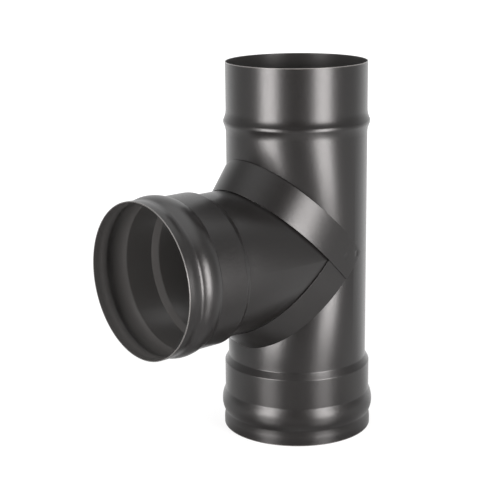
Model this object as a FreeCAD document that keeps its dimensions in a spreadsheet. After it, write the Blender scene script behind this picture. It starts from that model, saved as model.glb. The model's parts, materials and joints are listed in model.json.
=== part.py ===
import FreeCAD, Part
import math
import os
import re
import Sketcher

# A flue tee in enamelled sheet steel: a run with a plain spigot on top and a socket below, and a
# branch of the same bore with a socket of its own. Both pipes are cut back to a mitre, and two
# bent saddle strips bridge the two corners and lap over each other at the front and at the back.
# The frame: +Z up along the run, origin in the middle of the bottom mouth, branch towards -X.
# Lengths are in millimetres.

SIZES = {
    "pipe_radius": 60.0,      # outside of the plain pipe
    "sheet": 0.8,             # wall of both pipes
    "run_height": 320.0,      # bottom mouth to top rim
    "branch_height": 159.0,   # bottom mouth to the branch's axis
    "branch_reach": 168.5,    # run's axis to the branch's mouth
    "bead_drop": 50.2,        # top rim down to the crest of the stop bead
    "bead_width": 17.5,       # stop bead, foot to foot along the pipe
    "bead_proud": 2.2,        # stop bead's crest above the pipe
    "socket_play": 0.3,       # a mating bead's crest to the socket's bore
    "lip_height": 7.5,        # straight lip at a mouth
    "lip_proud": 1.1,         # lip above the socket's barrel
    "neck_rise": 4.1,         # end of the lip to the neck
    "neck_proud": 0.5,        # neck above the socket's barrel
    "bulge_rise": 10.9,       # neck to the crest of the sealing bulge
    "bulge_proud": 2.8,       # bulge's crest above the socket's barrel
    "bulge_root": 6.0,        # radius at the two feet of the bulge
    "bulge_fall": 13.0,       # crest to the end of the bulge
    "barrel_length": 21.0,    # straight barrel of the socket
    "shoulder_length": 12.0,  # barrel to the plain pipe
    "strip_width": 28.0,      # saddle strip across its bend
    "strip_sheet": 0.6,       # saddle strip's thickness
    "strip_rise": 3.0,        # crossing of the strips above the branch's axis
    "pipe_lap": 6.0,          # pipe edge tucked under a strip
    "seat_gap": 0.2,          # play between lapped sheets
    "end_tuck": 4.0,          # lower strip's end inside the upper strip's edge
    "spot_pitch": 13.0,       # run's axis to the outer spot weld, along the branch's axis
    "spot_width": 6.5,        # mark of a spot weld across
    "spot_depth": 0.3,        # mark of a spot weld, deep
}

# Sizes that follow from the ones above, as expressions on the sheet's aliases.
BARREL = "(pipe_radius + bead_proud + socket_play + sheet)"
NECK_UP = "(lip_height + neck_rise)"
CREST_UP = "(lip_height + neck_rise + bulge_rise)"
BULGE_END = "(lip_height + neck_rise + bulge_rise + bulge_fall)"
BARREL_END = "(lip_height + neck_rise + bulge_rise + bulge_fall + barrel_length)"
SHOULDER_END = "(lip_height + neck_rise + bulge_rise + bulge_fall + barrel_length + shoulder_length)"
STRIP_REACH = "(strip_width / sqrt(2))"
LONG_REACH = "(strip_width / sqrt(2) + strip_rise)"
SHORT_REACH = "(strip_width / sqrt(2) - strip_rise)"
CUT_REACH = "((strip_width - 2 * pipe_lap) / sqrt(2))"
PAST = "(2 * pipe_radius)"
LOWER_RIDE = "(pipe_radius + seat_gap)"
UPPER_RIDE = "(pipe_radius + 2 * seat_gap + strip_sheet)"

doc = FreeCAD.newDocument("flue_tee")


def make_sheet():
    """Put the driving dimensions in a spreadsheet, each with its alias."""
    sheet = doc.addObject("Spreadsheet::Sheet", "Sizes")
    for row, (alias, number) in enumerate(SIZES.items(), start=1):
        sheet.set("A%d" % row, alias)
        sheet.set("B%d" % row, str(number))
        sheet.setAlias("B%d" % row, alias)
    doc.recompute()
    return sheet


def bound(text):
    """Return an expression with each alias spelled as a cell of the sheet."""
    return re.sub(r"[a-z_]+", lambda word: "Sizes." + word[0] if word[0] in SIZES else word[0], text)


def amount(text):
    """Return what an expression on the aliases comes to now."""
    return float(sheet.evalExpression(bound(text)))


def bind(thing, **sizes):
    """Tie properties of an object to expressions on the aliases."""
    for name, text in sizes.items():
        thing.setExpression(name.replace("__", "."), bound(text))


class Outline:
    """A closed outline in a sketch, drawn point by point; every point is tied to the sheet."""

    def __init__(self, sketch, across, up):
        self.sketch = sketch
        self.start = (across, up)
        self.place = self.point(across, up)
        self.pen = None
        self.first = None

    def point(self, across, up):
        return FreeCAD.Vector(amount(across), amount(up), 0)

    def tie(self, geometry, end, across, up):
        """Hold a point at a place given by two expressions."""
        for kind, text in (("DistanceX", across), ("DistanceY", up)):
            rule = Sketcher.Constraint(kind, -1, 1, geometry, end, amount(text))
            number = self.sketch.addConstraint(rule)
            self.sketch.setExpression("Constraints[%d]" % number, bound(text))

    def join(self, geometry, end):
        """Start a new edge at the pen, or hold the first one at the outline's start."""
        if self.pen is None:
            self.first = (geometry, end)
            self.tie(geometry, end, *self.start)
        else:
            self.sketch.addConstraint(Sketcher.Constraint("Coincident", *self.pen, geometry, end))

    def line(self, across, up):
        """Draw a straight edge to a place."""
        target = self.point(across, up)
        edge = self.sketch.addGeometry(Part.LineSegment(self.place, target))
        self.join(edge, 1)
        self.tie(edge, 2, across, up)
        self.pen = (edge, 2)
        self.place = target

    def step(self, across, up, root=None):
        """Draw two tangent arcs to a place further along, both ends in line with the axis.

        The arcs are alike, or the one at the foot named by root has the radius that it gives.
        """
        target = self.point(across, up)
        rise = target.y - self.place.y
        out = target.x - self.place.x
        turn = 2 * math.atan(abs(out / rise))
        both = abs(rise) / math.sin(turn)
        where, text = root if root else (None, None)
        radii = {None: (both / 2, both / 2)}
        if root:
            foot = amount(text)
            radii["first"] = (foot, both - foot)
            radii["last"] = (both - foot, foot)
        near, far = radii[where]
        side = math.copysign(1, out)
        near_centre = self.place + FreeCAD.Vector(side * near, 0, 0)
        far_centre = target - FreeCAD.Vector(side * far, 0, 0)
        middle = near_centre + (far_centre - near_centre) * (near / both)
        first = self.arc(near_centre, near, self.place, middle, side < 0)
        last = self.arc(far_centre, far, middle, target, side > 0)
        rules = self.sketch
        self.join(first[0], first[1])
        rules.addConstraint(Sketcher.Constraint("Horizontal", first[0], 3, first[0], first[1]))
        rules.addConstraint(Sketcher.Constraint("Tangent", first[0], first[2], last[0], last[1]))
        rules.addConstraint(Sketcher.Constraint("Horizontal", last[0], 3, last[0], last[2]))
        self.tie(last[0], last[2], across, up)
        if root:
            held = first[0] if where == "first" else last[0]
            number = rules.addConstraint(Sketcher.Constraint("Radius", held, amount(text)))
            rules.setExpression("Constraints[%d]" % number, bound(text))
        else:
            rules.addConstraint(Sketcher.Constraint("Equal", first[0], last[0]))
        self.pen = (last[0], last[2])
        self.place = target

    def arc(self, centre, radius, start, end, leftwards):
        """Add an arc; return its number and the indices of the ends where the pen comes and goes."""
        low, high = (start, end) if leftwards else (end, start)
        angles = [math.atan2(spot.y - centre.y, spot.x - centre.x) for spot in (low, high)]
        if angles[1] < angles[0]:
            angles[1] += 2 * math.pi
        circle = Part.Circle(centre, FreeCAD.Vector(0, 0, 1), radius)
        number = self.sketch.addGeometry(Part.ArcOfCircle(circle, *angles))
        return (number, 1, 2) if leftwards else (number, 2, 1)

    def close(self):
        """Draw the last straight edge back to the start."""
        edge = self.sketch.addGeometry(Part.LineSegment(self.place, self.point(*self.start)))
        self.join(edge, 1)
        self.sketch.addConstraint(Sketcher.Constraint("Coincident", edge, 2, *self.first))


def origin_plane(body, role):
    """Find one of a body's own origin planes."""
    return next(plane for plane in body.Origin.OriginFeatures if plane.Role == role)


def side_sketch(body, name):
    """Start a sketch on a body's XZ plane: across is X, up is Z."""
    sketch = body.newObject("Sketcher::SketchObject", name)
    sketch.AttachmentSupport = (origin_plane(body, "XZ_Plane"), [""])
    sketch.MapMode = "FlatFace"
    return sketch


def turn_outline(body, name, outline):
    """Spin a closed outline about a body's axis."""
    turned = body.newObject("PartDesign::Revolution", name)
    turned.Profile = outline.sketch
    turned.ReferenceAxis = (outline.sketch, ["V_Axis"])
    turned.Angle = 360
    outline.sketch.Visibility = False
    doc.recompute()
    return turned


def socket_outline(sketch):
    """Draw the socket from the axis at its mouth to the start of the plain pipe."""
    outline = Outline(sketch, "0", "0")
    outline.line(BARREL + " + lip_proud", "0")
    outline.line(BARREL + " + lip_proud", "lip_height")
    outline.step(BARREL + " + neck_proud", NECK_UP)
    outline.step(BARREL + " + bulge_proud", CREST_UP, ("first", "bulge_root"))
    outline.step(BARREL, BULGE_END, ("last", "bulge_root"))
    outline.line(BARREL, BARREL_END)
    outline.step("pipe_radius", SHOULDER_END)
    return outline


def hollow(body, name):
    """Leave only the sheet of a turned body, open at its two flat ends."""
    solid = body.Tip
    ends = []
    for number, face in enumerate(solid.Shape.Faces, start=1):
        if face.Surface.TypeId == "Part::GeomPlane":
            ends.append("Face%d" % number)
    shell = body.newObject("PartDesign::Thickness", name)
    shell.Base = (solid, ends)
    shell.Reversed = True
    shell.Mode = 0
    shell.Join = 0
    bind(shell, Value="sheet")
    doc.recompute()
    return shell


def cut_through(body, name, corners):
    """Cut a polygon, given as places in the side sketch, through a body both ways."""
    sketch = side_sketch(body, name + "_sketch")
    outline = Outline(sketch, *corners[0])
    for corner in corners[1:]:
        outline.line(*corner)
    outline.close()
    cut = body.newObject("PartDesign::Pocket", name)
    cut.Profile = sketch
    cut.Type = "ThroughAll"
    cut.Midplane = True
    before = body.Tip.Shape.Volume if body.Tip is not cut else cut.BaseFeature.Shape.Volume
    doc.recompute()
    assert cut.Shape.Volume < before - 1, name + " cuts nothing"
    return cut


def make_main_pipe():
    """The run: socket at the bottom, stop bead and spigot on top, a mitre opening in its side."""
    body = doc.addObject("PartDesign::Body", "main_pipe")
    outline = socket_outline(side_sketch(body, "main_outline"))
    crest_up = "(run_height - bead_drop)"
    outline.line("pipe_radius", crest_up + " - bead_width / 2")
    outline.step("pipe_radius + bead_proud", crest_up)
    outline.step("pipe_radius", crest_up + " + bead_width / 2")
    outline.line("pipe_radius", "run_height")
    outline.line("0", "run_height")
    outline.close()
    turn_outline(body, "main_solid", outline)
    hollow(body, "main_wall")
    apex_up = "branch_height + strip_rise"
    cut_through(body, "main_opening", [
        (CUT_REACH, apex_up),
        ("-" + PAST, apex_up + " + " + CUT_REACH + " + " + PAST),
        ("-" + PAST, apex_up + " - " + CUT_REACH + " - " + PAST),
    ])
    return body


def make_branch_pipe():
    """The branch: a socket at its mouth and a mitred inner end; its own Z runs from mouth to run."""
    body = doc.addObject("PartDesign::Body", "branch_pipe")
    outline = socket_outline(side_sketch(body, "branch_outline"))
    outline.line("pipe_radius", "branch_reach")
    outline.line("0", "branch_reach")
    outline.close()
    turn_outline(body, "branch_solid", outline)
    hollow(body, "branch_wall")
    apex_up = "branch_reach - " + CUT_REACH
    right, left = "-strip_rise + " + PAST, "-strip_rise - " + PAST
    cut_through(body, "branch_mitre", [
        ("-strip_rise", apex_up),
        (right, apex_up + " - " + PAST),
        (right, "branch_reach + " + PAST),
        (left, "branch_reach + " + PAST),
        (left, apex_up + " - " + PAST),
    ])
    body.Placement.Rotation = FreeCAD.Rotation(FreeCAD.Vector(0, 1, 0), 90)
    bind(body, Placement__Base__x="-branch_reach", Placement__Base__z="branch_height")
    return body


def cut(name, base, tool):
    """Take one shape from another."""
    result = doc.addObject("Part::Cut", name)
    result.Base = base
    result.Tool = tool
    return result


def common(name, base, tool):
    """Keep what two shapes share."""
    result = doc.addObject("Part::Common", name)
    result.Base = base
    result.Tool = tool
    return result


def fuse(name, shapes):
    """Join shapes to one."""
    result = doc.addObject("Part::MultiFuse", name)
    result.Shapes = shapes
    return result


def side_prism(name, corners):
    """Extrude a polygon, given as X and Z from the crossing of the axes, both ways along Y."""
    sketch = doc.addObject("Sketcher::SketchObject", name + "_sketch")
    sketch.Placement.Rotation = FreeCAD.Rotation(FreeCAD.Vector(1, 0, 0), 90)
    outline = Outline(sketch, *corners[0])
    for corner in corners[1:]:
        outline.line(*corner)
    outline.close()
    prism = doc.addObject("Part::Extrusion", name)
    prism.Base = sketch
    prism.DirMode = "Normal"
    prism.Symmetric = True
    prism.Solid = True
    bind(prism, LengthFwd="2 * " + PAST)
    return prism


def bend_rod(name, side, ride, wall):
    """An elliptic rod from a strip's edge on the branch to its edge on the run.

    side is 1 for the strip above the branch and -1 for the one below it.
    """
    on_branch, on_run = (SHORT_REACH, LONG_REACH) if side > 0 else (LONG_REACH, SHORT_REACH)
    ring = doc.addObject("Part::Ellipse", name + "_ellipse")
    ring.Placement.Rotation = FreeCAD.Rotation(FreeCAD.Vector(0, 1, 0), 180 + side * 45)
    bind(ring,
         MajorRadius="sqrt(2) * " + LOWER_RIDE + " + " + wall,
         MinorRadius=ride + " + " + wall,
         Placement__Base__x="-" + on_branch)
    rod = doc.addObject("Part::Extrusion", name)
    rod.Base = ring
    rod.DirMode = "Custom"
    rod.Solid = True
    bind(rod,
         Dir__x=on_branch,
         Dir__y="0",
         Dir__z="%d * %s" % (side, on_run),
         LengthFwd="sqrt(" + on_branch + " ^ 2 + " + on_run + " ^ 2)")
    return rod


def flank_rod(name, ride, wall):
    """A rod along Z, round towards +X and flat-sided towards -X."""
    round_part = doc.addObject("Part::Cylinder", name + "_round")
    bind(round_part,
         Radius=ride + " + " + wall,
         Height="2 * " + PAST,
         Placement__Base__z="-" + PAST)
    flat_part = doc.addObject("Part::Box", name + "_flat")
    bind(flat_part,
         Length=PAST,
         Width="2 * (" + ride + " + " + wall + ")",
         Height="2 * " + PAST,
         Placement__Base__x="-" + PAST,
         Placement__Base__y="-(" + ride + " + " + wall + ")",
         Placement__Base__z="-" + PAST)
    return fuse(name, [round_part, flat_part])


def saddle_strip(name, side, ride, tuck):
    """A strip over one corner: a bend round the pipes and a flank on each side of the crossing.

    side is 1 for the strip above the branch and -1 for the one below. ride is the half width
    inside its flanks, and tuck is how far its ends stop short of the other strip's edge.
    """
    on_branch, on_run = (SHORT_REACH, LONG_REACH) if side > 0 else (LONG_REACH, SHORT_REACH)
    up, down = ("+", "-") if side > 0 else ("-", "+")
    bend_tube = cut(name + "_bend_tube",
                    bend_rod(name + "_bend_outer", side, ride, "strip_sheet"),
                    bend_rod(name + "_bend_inner", side, ride, "0"))
    bend_side = side_prism(name + "_bend_side", [
        ("-" + on_branch, "0"),
        ("0", up + on_run),
        ("-" + PAST, up + "(" + PAST + " + " + on_run + ")"),
        ("-(" + PAST + " + " + on_branch + ")", up + PAST),
    ])
    flank_tube = cut(name + "_flank_tube",
                     flank_rod(name + "_flank_outer", ride, "strip_sheet"),
                     flank_rod(name + "_flank_inner", ride, "0"))
    short = "(" + tuck + " / sqrt(2))"
    flank_side = side_prism(name + "_flank_side", [
        ("-" + on_branch, "0"),
        ("0", up + on_run),
        (STRIP_REACH + " - " + short, "strip_rise " + up + short),
        ("-" + short, "strip_rise " + down + "(" + STRIP_REACH + " - " + short + ")"),
    ])
    return fuse(name + "_sheet", [
        common(name + "_bend", bend_tube, bend_side),
        common(name + "_flanks", flank_tube, flank_side),
    ])


def make_lower_strip():
    """The strip under the branch; its ends lie beneath the upper strip's."""
    strip = saddle_strip("lower", -1, LOWER_RIDE, "end_tuck")
    strip.Label = "lower_saddle_strip"
    bind(strip, Placement__Base__z="branch_height")
    return strip


def make_upper_strip():
    """The strip over the branch, with two spot weld marks on each flank."""
    sheet_only = saddle_strip("upper", 1, UPPER_RIDE, "0")
    face = "(" + UPPER_RIDE + " + strip_sheet)"
    ball = "((spot_width ^ 2 / 4 + spot_depth ^ 2) / (2 * spot_depth))"
    lift = "(" + face + " + " + ball + " - spot_depth)"
    turn = "asin(spot_pitch / " + face + ")"
    marks = []
    for flank, way in (("front", "-"), ("back", "")):
        for place, angle in (("inner", "0"), ("outer", turn)):
            mark = doc.addObject("Part::Sphere", "%s_%s_spot" % (flank, place))
            bind(mark,
                 Radius=ball,
                 Placement__Base__x=lift + " * sin(" + angle + ")",
                 Placement__Base__y=way + lift + " * cos(" + angle + ")",
                 Placement__Base__z="strip_rise")
            marks.append(mark)
    strip = cut("upper_strip", sheet_only, fuse("spot_marks", marks))
    strip.Label = "upper_saddle_strip"
    bind(strip, Placement__Base__z="branch_height")
    return strip


def check_all():
    """Stop if an object failed to build."""
    for thing in doc.Objects:
        if "Invalid" in thing.State or "Error" in thing.State:
            raise RuntimeError("%s failed: %s" % (thing.Name, thing.State))


def export(nodes):
    """Write each sub-part to its own file."""
    os.makedirs("parts", exist_ok=True)
    for node in nodes:
        shape = node.Shape
        if shape.isNull() or not shape.isValid() or len(shape.Solids) != 1:
            raise RuntimeError("%s is not one sound solid" % node.Label)
        print("%-20s %9.1f mm3  %s" % (node.Label, shape.Volume, shape.BoundBox))
    for node in nodes:
        node.Shape.exportStep("parts/%s.step" % node.Label)


sheet = make_sheet()
nodes = [make_main_pipe(), make_branch_pipe(), make_lower_strip(), make_upper_strip()]
doc.recompute()
check_all()
export(nodes)
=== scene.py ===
"""Looks of a flue tee in black enamelled sheet steel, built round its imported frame.

The two pipes are lathed from the outline of their sheet, and the two saddle strips are trimmed
from a bent sleeve. Each stands for the node of the same form. Lengths are in metres.
"""

import json
import logging
import math
from dataclasses import dataclass
from enum import Enum
from typing import Callable

import bmesh
import bpy
from mathutils import Matrix, Vector


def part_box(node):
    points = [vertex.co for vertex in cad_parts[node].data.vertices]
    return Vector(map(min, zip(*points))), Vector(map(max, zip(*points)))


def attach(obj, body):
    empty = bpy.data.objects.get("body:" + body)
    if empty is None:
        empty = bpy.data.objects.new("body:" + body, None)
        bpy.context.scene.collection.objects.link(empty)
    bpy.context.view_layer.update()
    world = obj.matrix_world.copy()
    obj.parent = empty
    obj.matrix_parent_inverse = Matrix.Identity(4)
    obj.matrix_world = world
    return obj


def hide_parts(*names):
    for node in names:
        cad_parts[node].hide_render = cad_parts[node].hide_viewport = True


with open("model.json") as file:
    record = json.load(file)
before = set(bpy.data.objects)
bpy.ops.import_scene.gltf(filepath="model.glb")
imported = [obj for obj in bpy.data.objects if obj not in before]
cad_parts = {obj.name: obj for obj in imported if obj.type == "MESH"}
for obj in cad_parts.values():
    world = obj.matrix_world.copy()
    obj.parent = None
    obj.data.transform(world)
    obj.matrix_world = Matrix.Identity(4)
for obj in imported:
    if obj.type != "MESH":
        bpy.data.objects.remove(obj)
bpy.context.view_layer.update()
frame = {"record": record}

MM = 0.001
BODY = "root"
TURN_STEPS = 192
ARC_STEPS = 7
ROUND_SEGMENTS = 2
ROUND_ABOVE = math.radians(60)
SMOOTH_BELOW = math.radians(40)
MITRE_DEGREES = 45
WELD_DISTANCE = 0.01 * MM
CUT_DISTANCE = WELD_DISTANCE / 10
NEAR = 0.05 * MM
RAMP_MIDDLE = 0.5

SpotTest = Callable[[Vector], bool]

log = logging.getLogger("flue_tee")


class Side(Enum):
    """Which corner of the tee a saddle strip covers; the value is its sign along Z."""

    ABOVE = 1
    BELOW = -1


class WallFace(Enum):
    """Faces of a pipe's sheet; the value is the material slot."""

    OUTSIDE = 0
    INSIDE = 1
    EDGE = 2
    EDGE_INSIDE = 3


class MeshPart(Enum):
    """What is selected in a mesh; the value is Blender's name for it."""

    VERTEX = "VERT"
    FACE = "FACE"


@dataclass(frozen=True)
class TeeSizes:
    """Sizes that all pieces share, in metres."""

    height: float
    reach: float
    branch_height: float
    pipe_radius: float
    barrel_radius: float
    sheet: float = 0.8 * MM
    strip_width: float = 28.0 * MM
    strip_sheet: float = 0.6 * MM
    strip_rise: float = 3.0 * MM
    strip_tuck: float = 4.0 * MM
    pipe_lap: float = 6.0 * MM
    seat_gap: float = 0.2 * MM

    @classmethod
    def from_frame(cls, record: dict) -> "TeeSizes":
        """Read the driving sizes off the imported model.

        Args:
            record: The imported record, whose mounts give the radii.

        Returns:
            The sizes of this tee.
        """
        mounts = {mount["name"]: mount for mount in record["mounts"]}
        bore = mounts["branch_socket"]["dims"]["r_mm"] * MM
        return cls(
            height=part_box("main_pipe")[1].z,
            reach=-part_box("branch_pipe")[0].x,
            branch_height=mounts["branch_socket"]["pos_m"][2],
            pipe_radius=mounts["top_spigot"]["dims"]["r_mm"] * MM,
            barrel_radius=bore + cls.sheet,
        )

    @property
    def crossing(self) -> Vector:
        """The point where the strips' middles cross, in the plane of symmetry."""
        return Vector((0.0, 0.0, self.branch_height + self.strip_rise))

    @property
    def strip_reach(self) -> float:
        """Half the width of a strip along either pipe's axis."""
        return self.strip_width / math.sqrt(2)

    @property
    def cut_reach(self) -> float:
        """Distance from the crossing to the pipes' mitred edges, along the axes."""
        return (self.strip_width - 2 * self.pipe_lap) / math.sqrt(2)


def linear_colour(hex_colour: str) -> tuple[float, float, float, float]:
    """Turn an sRGB hex colour to linear RGBA, by the curve of the sRGB standard.

    Args:
        hex_colour: Six hex digits after a hash mark.

    Returns:
        Linear red, green and blue, and an alpha of 1.
    """
    parts = [int(hex_colour[i:i + 2], 16) / 255 for i in (1, 3, 5)]
    linear = [p / 12.92 if p <= 0.04045 else ((p + 0.055) / 1.055) ** 2.4 for p in parts]
    return (*linear, 1.0)


def add_node(tree: bpy.types.NodeTree, kind: str, settings: dict | None = None,
             inputs: dict | None = None) -> bpy.types.Node:
    """Add a node with its settings, input values and links.

    Args:
        tree: The node tree that gets the node.
        kind: Blender's type name of the node.
        settings: Attributes of the node and their values.
        inputs: Values or output sockets for the node's inputs, by name or number.

    Returns:
        The new node.
    """
    node = tree.nodes.new(kind)
    for name, value in (settings or {}).items():
        setattr(node, name, value)
    for key, value in (inputs or {}).items():
        if isinstance(value, bpy.types.NodeSocket):
            tree.links.new(value, node.inputs[key])
        else:
            node.inputs[key].default_value = value
    return node


@dataclass(frozen=True)
class StovedEnamel:
    """Black enamel sprayed on sheet steel and stoved.

    It dries to a satin skin with a fine orange peel: highlights are soft at their borders and
    break up into small grains, and the colour is near-black, a little warm.
    """

    name: str
    colour: str = "#171515"
    pale: str = "#1a1817"
    cloud: float = 60.0 * MM
    roughness: float = 0.32
    roughness_spread: float = 0.04
    ior: float = 1.7
    # The sprayed grains are about 0.3 mm wide, a third of a pixel, so they are drawn coarser.
    grain: float = 1.0 * MM
    grain_depth: float = 0.014 * MM
    grain_levels: tuple[float, float] = (0.3, 0.7)
    # The orange peel's crests are a few millimetres apart, as on the real skin.
    peel: float = 3.5 * MM
    peel_depth: float = 0.03 * MM

    def make(self) -> bpy.types.Material:
        """Build the material's nodes.

        Returns:
            The material.
        """
        material = bpy.data.materials.new(self.name)
        material.use_nodes = True
        tree = material.node_tree
        tree.nodes.clear()
        place = add_node(tree, "ShaderNodeTexCoord").outputs["Object"]
        grain = add_node(tree, "ShaderNodeTexNoise", inputs={
            "Vector": place, "Scale": 1 / self.grain, "Detail": 1.0, "Roughness": 0.5})
        peel = add_node(tree, "ShaderNodeTexNoise", inputs={
            "Vector": place, "Scale": 1 / self.peel, "Detail": 1.0, "Roughness": 0.5})
        cloud = add_node(tree, "ShaderNodeTexNoise", inputs={
            "Vector": place, "Scale": 1 / self.cloud, "Detail": 2.0, "Roughness": 0.5})
        tint = add_node(tree, "ShaderNodeMix", {"data_type": "RGBA"}, {
            "Factor": cloud.outputs["Fac"],
            "A": linear_colour(self.colour), "B": linear_colour(self.pale)})
        low, high = self.grain_levels
        satin = add_node(tree, "ShaderNodeMapRange", inputs={
            "Value": grain.outputs["Fac"], "From Min": low, "From Max": high,
            "To Min": self.roughness - self.roughness_spread,
            "To Max": self.roughness + self.roughness_spread})
        low_bump = add_node(tree, "ShaderNodeBump", inputs={
            "Height": peel.outputs["Fac"], "Distance": self.peel_depth, "Strength": 1.0})
        fine_bump = add_node(tree, "ShaderNodeBump", inputs={
            "Height": grain.outputs["Fac"], "Distance": self.grain_depth, "Strength": 1.0,
            "Normal": low_bump.outputs["Normal"]})
        shader = add_node(tree, "ShaderNodeBsdfPrincipled", inputs={
            "Base Color": tint.outputs["Result"], "Roughness": satin.outputs["Result"],
            "Normal": fine_bump.outputs["Normal"], "IOR": self.ior})
        add_node(tree, "ShaderNodeOutputMaterial", inputs={"Surface": shader.outputs["BSDF"]})
        return material


def deselect_all() -> None:
    """Leave edit mode if need be and deselect every object."""
    if bpy.context.object and bpy.context.object.mode == "EDIT":
        bpy.ops.object.mode_set(mode="OBJECT")
    bpy.ops.object.select_all(action="DESELECT")


def activate(piece: bpy.types.Object) -> None:
    """Make an object the only one selected and the active one.

    Args:
        piece: The object.
    """
    deselect_all()
    piece.select_set(True)
    bpy.context.view_layer.objects.active = piece


def edit() -> None:
    """Enter edit mode on the active object, to pick vertices."""
    bpy.ops.object.mode_set(mode="EDIT")
    bpy.ops.mesh.select_mode(type=MeshPart.VERTEX.value)


def leave_edit() -> None:
    """Return to object mode."""
    bpy.ops.object.mode_set(mode="OBJECT")


def select_parts(kind: MeshPart, test: SpotTest) -> None:
    """Select the vertices or faces of the mesh in edit mode that pass a test.

    Args:
        kind: What is selected.
        test: Gets a vertex's place or a face's middle.
    """
    bpy.ops.mesh.select_mode(type=kind.value)
    bpy.ops.mesh.select_all(action="DESELECT")
    mesh = bpy.context.object.data
    shape = bmesh.from_edit_mesh(mesh)
    if kind is MeshPart.VERTEX:
        spots = [(vertex, vertex.co) for vertex in shape.verts]
    else:
        spots = [(face, face.calc_center_median()) for face in shape.faces]
    for part, spot in spots:
        if test(spot):
            part.select_set(True)
    shape.select_flush_mode()
    bmesh.update_edit_mesh(mesh)


def cut(point: Vector, outward: Vector, trim: bool) -> None:
    """Cut the mesh in edit mode by a plane.

    Args:
        point: A point of the plane.
        outward: The plane's normal.
        trim: Whether what lies outward of the plane is dropped.
    """
    bpy.ops.mesh.select_all(action="SELECT")
    bpy.ops.mesh.bisect(plane_co=point, plane_no=outward, clear_outer=trim,
                        threshold=CUT_DISTANCE)


def finish_with(piece: bpy.types.Object, kind: str, **settings: object) -> None:
    """Give a piece a modifier and apply it.

    Args:
        piece: The piece.
        kind: Blender's type name of the modifier.
        settings: Attributes of the modifier and their values.
    """
    activate(piece)
    modifier = piece.modifiers.new(kind.title(), kind)
    for name, value in settings.items():
        setattr(modifier, name, value)
    bpy.ops.object.modifier_apply(modifier=modifier.name)


def round_edges(piece: bpy.types.Object, width: float) -> None:
    """Round the sharp edges of a piece."""
    finish_with(piece, "BEVEL", width=width, segments=ROUND_SEGMENTS, limit_method="ANGLE",
                angle_limit=ROUND_ABOVE)


class WallOutline:
    """The outline of a pipe's outer wall, drawn from its mouth inwards.

    Each point is a pair of the distance along the pipe's axis and the radius.
    """

    def __init__(self, along: float, radius: float) -> None:
        """Start the outline at a point."""
        self.points = [(along, radius)]

    def line(self, along: float, radius: float) -> None:
        """Draw a straight stretch to a point."""
        self.points.append((along, radius))

    def step(self, along: float, radius: float, first: float | None = None,
             last: float | None = None) -> None:
        """Draw two arcs to a point, both ends in line with the axis.

        The arcs touch, or where both radii are given, a straight flank joins them.

        Args:
            along: Distance of the target along the axis.
            radius: Radius at the target.
            first: Radius of the first arc, where it isn't like the other.
            last: Radius of the last arc, where it isn't like the other.
        """
        start_along, start_radius = self.points[-1]
        rise, out = along - start_along, radius - start_radius
        both = (rise ** 2 + out ** 2) / (2 * abs(out))
        near = first if first else both - last if last else both / 2
        far = last if last else both - near
        flank = math.sqrt(max(0.0, rise ** 2 + out ** 2 - 2 * abs(out) * (near + far)))
        turn = math.atan2(rise, near + far - abs(out)) - math.atan2(flank, near + far)
        side = math.copysign(1, out)
        for count in range(1, ARC_STEPS + 1):
            angle = turn * count / ARC_STEPS
            self.points.append((start_along + near * math.sin(angle),
                                start_radius + side * near * (1 - math.cos(angle))))
        for count in range(ARC_STEPS - 1, -1, -1):
            angle = turn * count / ARC_STEPS
            self.points.append((along - far * math.sin(angle),
                                radius - side * far * (1 - math.cos(angle))))


@dataclass(frozen=True)
class Socket:
    """The socket at a pipe's mouth: lip, neck, sealing bulge, barrel and shoulder.

    Heights, rises, falls and lengths run along the axis. Proud is how far a form stands out
    from the barrel, and a root is the radius of the arc at a form's foot.
    """

    edge_band: float = 0.7 * MM
    lip_height: float = 4.0 * MM
    lip_proud: float = 1.1 * MM
    neck_rise: float = 7.6 * MM
    neck_proud: float = 0.5 * MM
    bulge_rise: float = 9.9 * MM
    bulge_proud: float = 2.8 * MM
    bulge_root: float = 6.0 * MM
    bulge_fall: float = 12.0 * MM
    crisp_root: float = 3.5 * MM
    barrel_length: float = 24.3 * MM
    shoulder_length: float = 6.7 * MM
    shoulder_inset: float = 4.0 * MM
    shoulder_root: float = 2.0 * MM

    def outline(self, sizes: TeeSizes) -> WallOutline:
        """Draw the socket's outer wall from the mouth to the plain pipe.

        Args:
            sizes: The tee's shared sizes.

        Returns:
            The outline so far.
        """
        barrel = sizes.barrel_radius
        wall = WallOutline(0.0, barrel + self.lip_proud)
        wall.line(self.edge_band, barrel + self.lip_proud)
        along = self.lip_height
        wall.line(along, barrel + self.lip_proud)
        along += self.neck_rise
        wall.step(along, barrel + self.neck_proud)
        along += self.bulge_rise
        wall.step(along, barrel + self.bulge_proud, first=self.bulge_root)
        along += self.bulge_fall
        wall.step(along, barrel, last=self.crisp_root)
        along += self.barrel_length
        wall.line(along, barrel)
        along += self.shoulder_length
        wall.step(along, sizes.pipe_radius, first=self.shoulder_root, last=self.shoulder_root)
        along += self.shoulder_inset
        wall.line(along, sizes.pipe_radius)
        return wall


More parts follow.
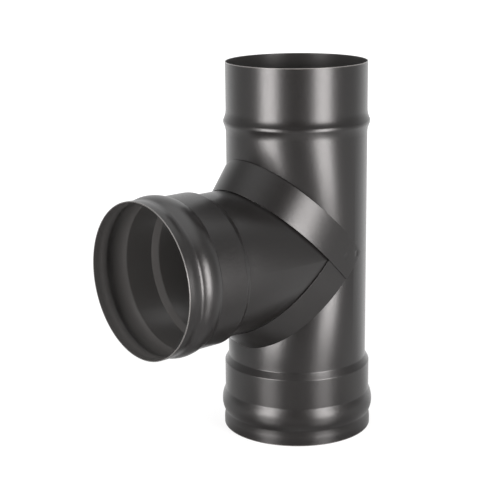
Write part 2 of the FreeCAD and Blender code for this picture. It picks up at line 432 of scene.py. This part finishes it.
@dataclass
class Pipe:
    """A rolled and formed pipe, lathed about its axis from the outline of its outer wall."""

    sizes: TeeSizes
    socket: Socket
    finishes: dict[WallFace, bpy.types.Material]
    rim_round: float = 0.25 * MM

    def lathe(self, name: str, wall: WallOutline, mouth: Vector, axis: Vector,
              across: Vector) -> bpy.types.Object:
        """Draw the outline as a chain of edges and spin it.

        Args:
            name: Name of the piece.
            wall: The outer wall's outline.
            mouth: Middle of the pipe's mouth.
            axis: Direction from the mouth along the pipe.
            across: Direction in which the outline stands off the axis.

        Returns:
            The open sheet, one layer thick, with its faces pointing outwards.
        """
        places = [mouth + axis * along + across * radius for along, radius in wall.points]
        deselect_all()
        bpy.ops.mesh.primitive_plane_add(size=self.sizes.sheet, location=places[0])
        piece = bpy.context.object
        piece.name = name
        bpy.ops.object.transform_apply(location=True, rotation=True, scale=True)
        edit()
        bpy.ops.mesh.select_all(action="SELECT")
        bpy.ops.mesh.merge(type="CENTER")
        for here, there in zip(places, places[1:]):
            bpy.ops.mesh.extrude_vertices_move(TRANSFORM_OT_translate={"value": there - here})
        bpy.ops.mesh.select_all(action="SELECT")
        bpy.ops.mesh.spin(steps=TURN_STEPS, angle=math.tau, center=mouth, axis=axis)
        bpy.ops.mesh.select_all(action="SELECT")
        bpy.ops.mesh.remove_doubles(threshold=WELD_DISTANCE)
        bpy.ops.mesh.normals_make_consistent(inside=False)
        leave_edit()
        return piece

    def cut_mitre(self, piece: bpy.types.Object, apex: Vector, spare: SpotTest) -> None:
        """Cut the sheet along both mitre planes and drop the spare side.

        Args:
            piece: The sheet, one layer thick.
            apex: Where the mitre planes meet, in the plane of symmetry.
            spare: Passed by the middle of each face that goes.
        """
        activate(piece)
        edit()
        for slope in (1, -1):
            cut(apex, Vector((1, 0, slope)).normalized(), trim=False)
        select_parts(MeshPart.FACE, spare)
        bpy.ops.mesh.delete(type="FACE")
        leave_edit()

    def give_wall(self, piece: bpy.types.Object, rims: list[SpotTest]) -> None:
        """Thicken the sheet inwards, round its free rims and dress it.

        Args:
            piece: The sheet, one layer thick.
            rims: One test for each free rim, passed by faces that lie on its band.
        """
        for face in WallFace:
            piece.data.materials.append(self.finishes[face])
        activate(piece)
        edit()
        # Each rim's band gets the paler edge enamel, partly thin enamel and partly a painted
        # highlight.
        for on_band in rims:
            select_parts(MeshPart.FACE, on_band)
            piece.active_material_index = WallFace.EDGE.value
            bpy.ops.object.material_slot_assign()
        leave_edit()
        finish_with(piece, "SOLIDIFY", thickness=self.sizes.sheet, offset=-1.0,
                    use_even_offset=True, material_offset=WallFace.INSIDE.value,
                    material_offset_rim=WallFace.INSIDE.value)
        round_edges(piece, self.rim_round)
        bpy.ops.object.shade_smooth_by_angle(angle=SMOOTH_BELOW)


@dataclass
class RunPipe(Pipe):
    """The upright run: socket below, stop bead and plain spigot above, an opening in its side."""

    bead_drop: float = 50.2 * MM
    bead_width: float = 20.5 * MM
    bead_proud: float = 2.2 * MM
    bead_crest: float = 5.0 * MM

    def outline(self) -> WallOutline:
        """Draw the outer wall from the bottom mouth to the top rim.

        Returns:
            The whole outline.
        """
        sizes = self.sizes
        wall = self.socket.outline(sizes)
        crest = sizes.height - self.bead_drop
        wall.line(crest - self.bead_width / 2, sizes.pipe_radius)
        wall.step(crest, sizes.pipe_radius + self.bead_proud, last=self.bead_crest)
        wall.step(crest + self.bead_width / 2, sizes.pipe_radius, first=self.bead_crest)
        wall.line(sizes.height - self.socket.edge_band, sizes.pipe_radius)
        wall.line(sizes.height, sizes.pipe_radius)
        return wall

    def build(self) -> bpy.types.Object:
        """Make the run and cut its mitre opening.

        Returns:
            The finished piece.
        """
        sizes = self.sizes
        up, left = Vector((0, 0, 1)), Vector((-1, 0, 0))
        piece = self.lathe("run", self.outline(), Vector((0, 0, 0)), up, left)
        apex = sizes.crossing + Vector((sizes.cut_reach, 0, 0))
        self.cut_mitre(piece, apex, lambda spot: abs(spot.z - apex.z) < apex.x - spot.x)
        band = self.socket.edge_band
        self.give_wall(piece, [lambda spot: spot.z < band,
                               lambda spot: spot.z > sizes.height - band])
        return piece


@dataclass
class BranchPipe(Pipe):
    """The level branch: socket at its mouth and a mitred inner end."""

    def build(self) -> bpy.types.Object:
        """Make the branch and cut its mitre.

        Returns:
            The finished piece.
        """
        sizes = self.sizes
        wall = self.socket.outline(sizes)
        wall.line(sizes.reach, sizes.pipe_radius)
        mouth = Vector((-sizes.reach, 0, sizes.branch_height))
        piece = self.lathe("branch", wall, mouth, Vector((1, 0, 0)), Vector((0, 0, 1)))
        apex = sizes.crossing - Vector((sizes.cut_reach, 0, 0))
        self.cut_mitre(piece, apex, lambda spot: spot.x + abs(spot.z - apex.z) > apex.x)
        band = self.socket.edge_band
        self.give_wall(piece, [lambda spot: spot.x < band - sizes.reach])
        return piece


@dataclass(frozen=True)
class SpotWelds:
    """Shallow round marks of spot welds, two on each flank of a strip, level with the crossing."""

    pitch: float = 13.0 * MM
    width: float = 6.5 * MM
    depth: float = 0.3 * MM
    ball_segments: int = 48
    ball_rings: int = 96

    @property
    def ball_radius(self) -> float:
        """Radius of the ball that leaves a mark of this width and depth."""
        return (self.width ** 2 / 4 + self.depth ** 2) / (2 * self.depth)

    def press(self, strip: bpy.types.Object, face: float, height: float) -> None:
        """Sink the marks in a strip.

        Args:
            strip: The strip.
            face: Half width over its flanks, which is also the radius of their round ends.
            height: Height of the crossing.
        """
        lift = face + self.ball_radius - self.depth
        for way in (-1, 1):
            for angle in (0.0, math.asin(self.pitch / face)):
                deselect_all()
                bpy.ops.mesh.primitive_uv_sphere_add(
                    segments=self.ball_segments, ring_count=self.ball_rings,
                    radius=self.ball_radius,
                    location=(lift * math.sin(angle), way * lift * math.cos(angle), height),
                    rotation=(math.pi / 2, 0, -way * angle))
                ball = bpy.context.object
                finish_with(strip, "BOOLEAN", operation="DIFFERENCE", solver="EXACT",
                            object=ball)
                activate(ball)
                bpy.ops.object.delete()
        activate(strip)


@dataclass
class SaddleStrip:
    """A bent sheet strip over one corner: a bend round the pipes and a flank on each side."""

    sizes: TeeSizes
    side: Side
    ride: float
    tuck: float = 0.0
    welds: SpotWelds | None = None
    edge_round: float = 0.15 * MM

    @property
    def on_branch(self) -> float:
        """Distance of the strip's edge from the run's axis, along the branch's axis."""
        return self.sizes.strip_reach - self.side.value * self.sizes.strip_rise

    @property
    def on_run(self) -> float:
        """Distance of the strip's edge from the branch's axis, along the run's axis."""
        return self.sizes.strip_reach + self.side.value * self.sizes.strip_rise

    @property
    def corner(self) -> Vector:
        """The point of the branch's axis that the strip's edge on the branch is level with."""
        return Vector((-self.on_branch, 0, self.sizes.branch_height))

    @property
    def ruling(self) -> Vector:
        """The strip's straight way across, from its edge on the branch to its edge on the run."""
        return Vector((self.on_branch, 0, self.side.value * self.on_run))

    def bend(self) -> bpy.types.Object:
        """Make the part that goes round the pipes, from an ellipse drawn out along the ruling.

        Returns:
            The bend, one layer thick.
        """
        sizes, sign = self.sizes, self.side.value
        stretch = math.sqrt(2) * (sizes.pipe_radius + sizes.seat_gap) / self.ride
        turn = math.radians(90 - sign * MITRE_DEGREES)
        bpy.ops.mesh.primitive_circle_add(vertices=TURN_STEPS * 2, radius=self.ride,
                                          location=self.corner, rotation=(0, turn, 0))
        piece = bpy.context.object
        piece.scale.x = stretch
        bpy.ops.object.transform_apply(location=True, rotation=True, scale=True)
        edit()
        bpy.ops.mesh.select_all(action="SELECT")
        bpy.ops.mesh.extrude_region_move(TRANSFORM_OT_translate={"value": self.ruling})
        across = Vector((self.on_run, 0, -sign * self.on_branch)).normalized()
        cut(self.corner, across, trim=True)
        leave_edit()
        return piece

    def flanks(self) -> bpy.types.Object:
        """Make both flat sides and their round ends on the run, from a sleeve of D section.

        Returns:
            The flanks, one layer thick.
        """
        sizes, sign = self.sizes, self.side.value
        foot = (0, 0, sizes.branch_height - sizes.pipe_radius)
        bpy.ops.mesh.primitive_circle_add(vertices=TURN_STEPS, radius=self.ride, location=foot)
        piece = bpy.context.object
        bpy.ops.object.transform_apply(location=True, rotation=True, scale=True)
        edit()
        cut(Vector((0, 0, 0)), Vector((-1, 0, 0)), trim=True)
        select_parts(MeshPart.VERTEX, lambda spot: spot.x < NEAR)
        to_branch, up = (-sizes.pipe_radius, 0, 0), (0, 0, 2 * sizes.pipe_radius)
        bpy.ops.mesh.extrude_vertices_move(TRANSFORM_OT_translate={"value": to_branch})
        bpy.ops.mesh.select_all(action="SELECT")
        bpy.ops.mesh.extrude_region_move(TRANSFORM_OT_translate={"value": up})
        cut(self.corner, Vector((-self.on_run, 0, sign * self.on_branch)).normalized(), trim=True)
        along = Vector((1, 0, sign)).normalized()
        cut(self.corner, -along, trim=True)
        cut(self.corner + self.ruling, along, trim=True)
        end = sizes.crossing + Vector((sizes.strip_reach, 0, 0))
        downstrip = Vector((1, 0, -sign)).normalized()
        cut(end - downstrip * self.tuck, downstrip, trim=True)
        leave_edit()
        return piece

    def build(self, name: str, finish: bpy.types.Material) -> bpy.types.Object:
        """Join bend and flanks, thicken the sheet outwards and round its edges.

        Args:
            name: Name of the piece.
            finish: The enamel.

        Returns:
            The finished piece.
        """
        deselect_all()
        bend = self.bend()
        deselect_all()
        piece = self.flanks()
        piece.name = name
        bend.select_set(True)
        bpy.ops.object.join()
        edit()
        bpy.ops.mesh.select_all(action="SELECT")
        bpy.ops.mesh.remove_doubles(threshold=WELD_DISTANCE)
        bpy.ops.mesh.normals_make_consistent(inside=False)
        leave_edit()
        finish_with(piece, "SOLIDIFY", thickness=self.sizes.strip_sheet, offset=1.0,
                    use_even_offset=True)
        round_edges(piece, self.edge_round)
        if self.welds:
            face = self.ride + self.sizes.strip_sheet
            self.welds.press(piece, face, self.sizes.crossing.z)
        bpy.ops.object.shade_smooth_by_angle(angle=SMOOTH_BELOW)
        finish_with(piece, "WEIGHTED_NORMAL", mode="FACE_AREA", keep_sharp=True)
        piece.data.materials.append(finish)
        return piece


@dataclass(frozen=True)
class PhotoCamera:
    """A camera where the photograph's was, found by fitting the object's outline to it."""

    azimuth: float = math.radians(42.649)
    distance: float = 1120.532 * MM
    height: float = 440.695 * MM
    yaw: float = math.radians(2.072)
    pitch: float = math.radians(14.246)
    roll: float = math.radians(-0.593)
    focal_pixels: float = 1330.694
    frame_pixels: float = 500.0
    sensor: float = 36.0

    def make(self) -> bpy.types.Object:
        """Create the camera and make it the scene's own.

        Returns:
            The camera object.
        """
        data = bpy.data.cameras.new("photo_camera")
        data.sensor_width = self.sensor
        data.lens = self.focal_pixels / self.frame_pixels * self.sensor
        data.dof.use_dof = False
        heading = self.azimuth - self.yaw
        look = Vector((math.sin(heading), math.cos(heading), 0))
        forward = look * math.cos(self.pitch) - Vector((0, 0, math.sin(self.pitch)))
        right = forward.cross(Vector((0, 0, 1))).normalized()
        up = right.cross(forward)
        rolled_right = right * math.cos(self.roll) + up * math.sin(self.roll)
        rolled_up = up * math.cos(self.roll) - right * math.sin(self.roll)
        turn = Matrix((rolled_right, rolled_up, -forward)).transposed().to_4x4()
        spot = Vector((-self.distance * math.sin(self.azimuth),
                       -self.distance * math.cos(self.azimuth), self.height))
        camera = bpy.data.objects.new("photo_camera", data)
        camera.matrix_world = Matrix.Translation(spot) @ turn
        bpy.context.scene.collection.objects.link(camera)
        bpy.context.scene.camera = camera
        return camera


@dataclass(frozen=True)
class SoftBox:
    """A tall soft box beside the camera, aimed at the tee and standing on the floor.

    Its azimuth is counted from the camera's, its radiance in watts a square metre and steradian.
    """

    name: str
    azimuth: float
    distance: float = 0.6
    bottom: float = 0.0
    top: float = 0.42
    width: float = 0.26
    radiance: float = 9.9
    colour: str = "#fffbfa"

    @property
    def power(self) -> float:
        """Watts that give the box its radiance."""
        return self.radiance * math.pi * self.width * (self.top - self.bottom)


@dataclass(frozen=True)
class Studio:
    """A room that is white behind the tee and dim behind the camera, with a pale floor.

    The camera sees all of it as white. The enamel mirrors the room as it is, because the
    photograph's enamel mirrors a dark one in front of it.
    """

    camera_azimuth: float
    left_azimuth: float = math.radians(42.5)
    right_azimuth: float = math.radians(-41)
    floor_half: float = 6.0
    floor_colour: str = "#e8e8e8"
    paint_share: float = 0.35
    # The glow that the camera sees on the floor grows from near_glow to 1 between near and far.
    near_glow: float = 0.8
    near: float = 0.25
    far: float = 1.2
    # Each pair is a direction, from 0 behind the camera to 1 behind the tee, and its level.
    room_levels: tuple[tuple[float, float], ...] = (
        (0.2, 0.02), (0.45, 0.3), (0.65, 0.3), (0.9, 1.0))
    # The ceiling's level, and the upward parts of a direction where it begins and is in full.
    overhead: float = 1.3
    overhead_range: tuple[float, float] = (0.55, 0.95)
    table_gloss: float = 0.2
    table_roughness: float = 0.2

    @property
    def behind(self) -> tuple[float, float, float]:
        """Direction from the camera past the tee, level."""
        return (math.sin(self.camera_azimuth), math.cos(self.camera_azimuth), 0.0)

    def room_level(self, tree: bpy.types.NodeTree,
                   way: bpy.types.NodeSocket) -> bpy.types.NodeSocket:
        """Work out how bright the room is in a direction seen from the tee.

        Args:
            tree: The node tree that gets the nodes.
            way: The direction, of length 1.

        Returns:
            The level: from dim behind the camera to white behind the tee.
        """
        side = add_node(tree, "ShaderNodeVectorMath", {"operation": "DOT_PRODUCT"}, {
            0: way, 1: self.behind})
        share = add_node(tree, "ShaderNodeMapRange", inputs={
            "Value": side.outputs["Value"], "From Min": -1.0, "From Max": 1.0})
        ramp = add_node(tree, "ShaderNodeValToRGB", inputs={"Fac": share.outputs["Result"]})
        stops = ramp.color_ramp.elements
        while len(stops) < len(self.room_levels):
            stops.new(RAMP_MIDDLE)
        for stop, (spot, level) in zip(stops, self.room_levels):
            stop.position = spot
            stop.color = (level, level, level, 1.0)
        up = add_node(tree, "ShaderNodeSeparateXYZ", inputs={0: way}).outputs["Z"]
        begins, full = self.overhead_range
        ceiling = add_node(tree, "ShaderNodeMapRange", {"interpolation_type": "SMOOTHSTEP"}, {
            "Value": up, "From Min": begins, "From Max": full,
            "To Min": 0.0, "To Max": self.overhead})
        return add_node(tree, "ShaderNodeMath", {"operation": "MAXIMUM"}, {
            0: ramp.outputs["Color"], 1: ceiling.outputs["Result"]}).outputs["Value"]

    def floor_finish(self) -> bpy.types.Material:
        """Build the floor's matt paint.

        The camera sees it as white with a faint shadow. Other rays see a slightly glossy table
        in the room's light, which carries the highlights down the lower socket.

        Returns:
            The material.
        """
        material = bpy.data.materials.new("pale_floor")
        material.use_nodes = True
        tree = material.node_tree
        tree.nodes.clear()
        place = add_node(tree, "ShaderNodeTexCoord").outputs["Object"]
        apart = add_node(tree, "ShaderNodeVectorMath", {"operation": "LENGTH"}, {0: place})
        paint = add_node(tree, "ShaderNodeBsdfDiffuse", inputs={
            "Color": linear_colour(self.floor_colour)})
        strength = add_node(tree, "ShaderNodeMapRange", inputs={
            "Value": apart.outputs["Value"], "From Min": self.near, "From Max": self.far,
            "To Min": self.near_glow, "To Max": 1.0})
        glow = add_node(tree, "ShaderNodeEmission", inputs={
            "Strength": strength.outputs["Result"]})
        dark = add_node(tree, "ShaderNodeEmission", inputs={"Strength": 0.0})
        faint = add_node(tree, "ShaderNodeMixShader", inputs={
            0: self.paint_share, 1: dark.outputs["Emission"], 2: paint.outputs["BSDF"]})
        seen = add_node(tree, "ShaderNodeAddShader", inputs={
            0: faint.outputs["Shader"], 1: glow.outputs["Emission"]})
        path = add_node(tree, "ShaderNodeLightPath")
        way = add_node(tree, "ShaderNodeVectorMath", {"operation": "NORMALIZE"}, {0: place})
        room = add_node(tree, "ShaderNodeEmission", inputs={
            "Strength": self.room_level(tree, way.outputs["Vector"])})
        gloss = add_node(tree, "ShaderNodeBsdfAnisotropic", inputs={
            "Color": (1, 1, 1, 1), "Roughness": self.table_roughness})
        table = add_node(tree, "ShaderNodeMixShader", inputs={
            0: self.table_gloss, 1: faint.outputs["Shader"], 2: gloss.outputs["BSDF"]})
        mirrored = add_node(tree, "ShaderNodeAddShader", inputs={
            0: table.outputs["Shader"], 1: room.outputs["Emission"]})
        mix = add_node(tree, "ShaderNodeMixShader", inputs={
            0: path.outputs["Is Camera Ray"], 1: mirrored.outputs["Shader"],
            2: seen.outputs["Shader"]})
        add_node(tree, "ShaderNodeOutputMaterial", inputs={"Surface": mix.outputs["Shader"]})
        return material

    def floor(self) -> None:
        """Make the pale floor, which the camera sees as white outside the tee's shadow."""
        deselect_all()
        bpy.ops.mesh.primitive_plane_add(size=2 * self.floor_half, location=(0, 0, 0))
        floor = bpy.context.object
        floor.name = "floor"
        floor.data.materials.append(self.floor_finish())

    def lamp(self, box: SoftBox) -> None:
        """Place one soft box.

        Args:
            box: Its place, size and strength.
        """
        data = bpy.data.lights.new(box.name, "AREA")
        data.shape = "RECTANGLE"
        data.size = box.width
        data.size_y = box.top - box.bottom
        data.energy = box.power
        data.color = linear_colour(box.colour)[:3]
        lamp = bpy.data.objects.new(box.name, data)
        angle = self.camera_azimuth + box.azimuth
        middle = (box.bottom + box.top) / 2
        spot = Vector((-box.distance * math.sin(angle), -box.distance * math.cos(angle), middle))
        facing = Matrix.Rotation(-angle, 4, "Z") @ Matrix.Rotation(math.pi / 2, 4, "X")
        lamp.matrix_world = Matrix.Translation(spot) @ facing
        lamp.visible_camera = False
        bpy.context.scene.collection.objects.link(lamp)

    def world(self) -> None:
        """Light the room pale behind the tee and dim behind the camera, and show it as white."""
        world = bpy.data.worlds.new("studio_room")
        world.use_nodes = True
        tree = world.node_tree
        tree.nodes.clear()
        way = add_node(tree, "ShaderNodeTexCoord").outputs["Generated"]
        level = self.room_level(tree, way)
        path = add_node(tree, "ShaderNodeLightPath")
        seen = add_node(tree, "ShaderNodeMath", {"operation": "MAXIMUM"}, {
            0: path.outputs["Is Camera Ray"], 1: path.outputs["Is Transmission Ray"]})
        strength = add_node(tree, "ShaderNodeMix", {"data_type": "FLOAT"}, {
            "Factor": seen.outputs["Value"], "A": level, "B": 1.0})
        back = add_node(tree, "ShaderNodeBackground", inputs={
            "Color": (1, 1, 1, 1), "Strength": strength.outputs["Result"]})
        add_node(tree, "ShaderNodeOutputWorld", inputs={"Surface": back.outputs["Background"]})
        bpy.context.scene.world = world

    def build(self) -> None:
        """Set up floor, room and lamps."""
        self.floor()
        self.world()
        self.lamp(SoftBox("left_soft_box", self.left_azimuth))
        self.lamp(SoftBox("right_soft_box", self.right_azimuth))


def hand_over(piece: bpy.types.Object, node: str) -> None:
    """Hand a piece to the frame in place of a node of the same form.

    Args:
        piece: The finished piece.
        node: Name of the node that it stands for.
    """
    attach(piece, BODY)
    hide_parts(node)
    log.info("%s stands for %s: %d faces", piece.name, node, len(piece.data.polygons))


def main() -> None:
    """Build the tee's pieces in order and set up the photograph's view."""
    sizes = TeeSizes.from_frame(frame["record"])
    camera = PhotoCamera()
    camera.make()
    outside = StovedEnamel("stoved_enamel_outside").make()
    # The same enamel with a paler colour, a painted lighter inside: it stands in for the light
    # that reaches the inside, which shows as an even dark grey.
    inside = StovedEnamel("stoved_enamel_inside_painted_lighter", colour="#4c4b4a", pale="#525150").make()
    # On the cut edges the enamel is thin, and they catch the light as pale grey lines: the paler
    # colour on a band along each rim is partly that thin enamel and partly a painted highlight.
    edge = StovedEnamel("stoved_enamel_edge_thin_and_painted_highlight", colour="#6a6866", pale="#757270",
                        roughness=0.3).make()
    finishes = {WallFace.OUTSIDE: outside, WallFace.INSIDE: inside,
                WallFace.EDGE: edge, WallFace.EDGE_INSIDE: inside}
    socket = Socket()
    hand_over(RunPipe(sizes, socket, finishes).build(), "main_pipe")
    hand_over(BranchPipe(sizes, socket, finishes).build(), "branch_pipe")
    low_ride = sizes.pipe_radius + sizes.seat_gap
    high_ride = low_ride + sizes.strip_sheet + sizes.seat_gap
    lower = SaddleStrip(sizes, Side.BELOW, low_ride, tuck=sizes.strip_tuck)
    upper = SaddleStrip(sizes, Side.ABOVE, high_ride, welds=SpotWelds())
    hand_over(lower.build("lower_saddle", outside), "lower_saddle_strip")
    hand_over(upper.build("upper_saddle", outside), "upper_saddle_strip")
    Studio(camera.azimuth).build()
    bpy.context.scene.view_settings.view_transform = "Standard"


if __name__ == "__main__":
    logging.basicConfig(level=logging.INFO)
    main()
